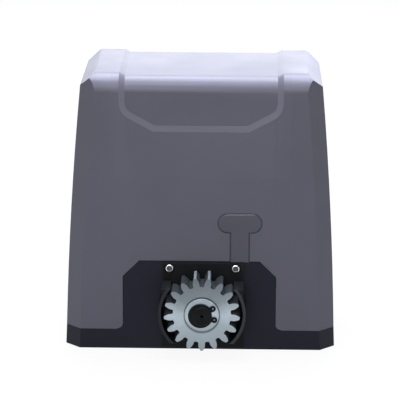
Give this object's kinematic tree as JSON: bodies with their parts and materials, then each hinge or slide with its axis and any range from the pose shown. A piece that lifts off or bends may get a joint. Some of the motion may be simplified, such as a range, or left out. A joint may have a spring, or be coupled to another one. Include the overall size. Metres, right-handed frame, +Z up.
{
  "type": "sliding gate motor",
  "caption": "Sliding gate motor: moulded cover over a cast base, worm-driven pinion behind a curved guard at the front, keyed release lever at the rear.",
  "frame": {"origin": "middle of the foundation slot pattern, in the plane of the base's underside", "axes": "+Z up; +Y from the pinion side to the release side, parallel to the output shaft; +X along the gate's rack, to the right seen from the pinion side"},
  "size_m": [0.2756, 0.1897, 0.284],
  "materials": {
    "cover_plastic": "fine moulded texture, satin",
    "blank_plastic": "satin",
    "base_cast": "near-black powder coat",
    "guard_plastic": "moulded, satin",
    "zinc_steel": "bright zinc plate",
    "black_steel": "black oxide",
    "bright_steel": "ground",
    "bronze": "machined bronze",
    "seal_rubber": "matt",
    "cast_alloy": "as cast",
    "lamination": "stacked laminations, varnished",
    "copper_winding": "varnished winding",
    "black_plastic": "moulded",
    "board_laminate": "solder mask",
    "green_plastic": "moulded",
    "relay_plastic": "moulded",
    "capacitor_case": "moulded",
    "lock_metal": "polished"
  },
  "bodies": {
    "housing": {"base_housing": "base_cast", "cover": "cover_plastic", "limit_slot_blank": "blank_plastic", "cover_screws": "zinc_steel", "levelling_screws": "zinc_steel", "cable_grommet": "seal_rubber", "gear_guard": "guard_plastic", "guard_screws": "bright_steel", "oil_seal": "seal_rubber", "front_bearing": "bright_steel", "rear_bearing": "bright_steel", "gearbox_cover": "cast_alloy", "gearbox_screws": "zinc_steel", "worm_bearing_lower": "bright_steel", "worm_bearing_upper": "bright_steel", "motor_bell_lower": "cast_alloy", "motor_bell_upper": "cast_alloy", "motor_bearing_upper": "bright_steel", "stator_core": "lamination", "stator_windings": "copper_winding", "motor_bolts": "zinc_steel", "board_bracket": "black_plastic", "control_board": "board_laminate", "board_relays": "relay_plastic", "terminal_strip": "green_plastic", "fuse_holder": "black_plastic", "smoothing_capacitor": "black_plastic", "transformer_core": "lamination", "transformer_coil": "copper_winding", "run_capacitor": "capacitor_case", "limit_sensor": "black_plastic", "lever_pin": "bright_steel"},
    "rotor": {"rotor_core": "lamination", "worm_shaft": "bright_steel", "cooling_fan": "black_plastic"},
    "wheel": {"worm_wheel": "bronze"},
    "output": {"pinion": "zinc_steel", "output_shaft": "black_steel", "shaft_key": "bright_steel", "thrust_washer": "zinc_steel", "retaining_ring": "black_steel", "clutch_spring": "bright_steel"},
    "clutch": {"clutch_dog": "bright_steel", "clutch_pin": "bright_steel"},
    "rod": {"release_rod": "bright_steel"},
    "lever": {"release_lever": "guard_plastic"},
    "lock": {"lock_cylinder": "lock_metal", "lock_tongue": "zinc_steel"}
  },
  "joints": [
    {"name": "rotor_turn", "type": "hinge", "parent": "housing", "child": "rotor", "pos_m": [-0.0375, -0.013, 0.14], "axis": [0, 0, 1], "continuous": true},
    {"name": "wheel_turn", "type": "hinge", "parent": "housing", "child": "wheel", "pos_m": [0.0025, -0.013, 0.0473], "axis": [0, 1, 0], "continuous": true},
    {"name": "pinion_turn", "type": "hinge", "parent": "housing", "child": "output", "pos_m": [0.0025, -0.094, 0.0473], "axis": [0, 1, 0], "continuous": true},
    {"name": "lever_swing", "type": "hinge", "parent": "housing", "child": "lever", "pos_m": [0.0025, 0.06, 0.0473], "axis": [0, 0, 1], "range_deg": [0, 90]},
    {"name": "rod_push", "type": "slide", "parent": "housing", "child": "rod", "axis": [0, -1, 0], "range_m": [0, 0.005]},
    {"name": "clutch_slide", "type": "slide", "parent": "output", "child": "clutch", "axis": [0, -1, 0], "range_m": [0, 0.005], "deforming": ["clutch_spring"]},
    {"name": "lock_turn", "type": "hinge", "parent": "lever", "child": "lock", "pos_m": [0.05, 0.07, 0.0473], "axis": [0, 1, 0], "range_deg": [-90, 0]}
  ],
  "couplings": [
    {"joint": "wheel_turn", "follows": "rotor_turn", "ratio": -0.033333},
    {"joint": "pinion_turn", "follows": "rotor_turn", "ratio": -0.033333},
    {"joint": "rod_push", "follows": "lever_swing", "m_per_rad": 0.00318},
    {"joint": "clutch_slide", "follows": "lever_swing", "m_per_rad": 0.00318}
  ]
}
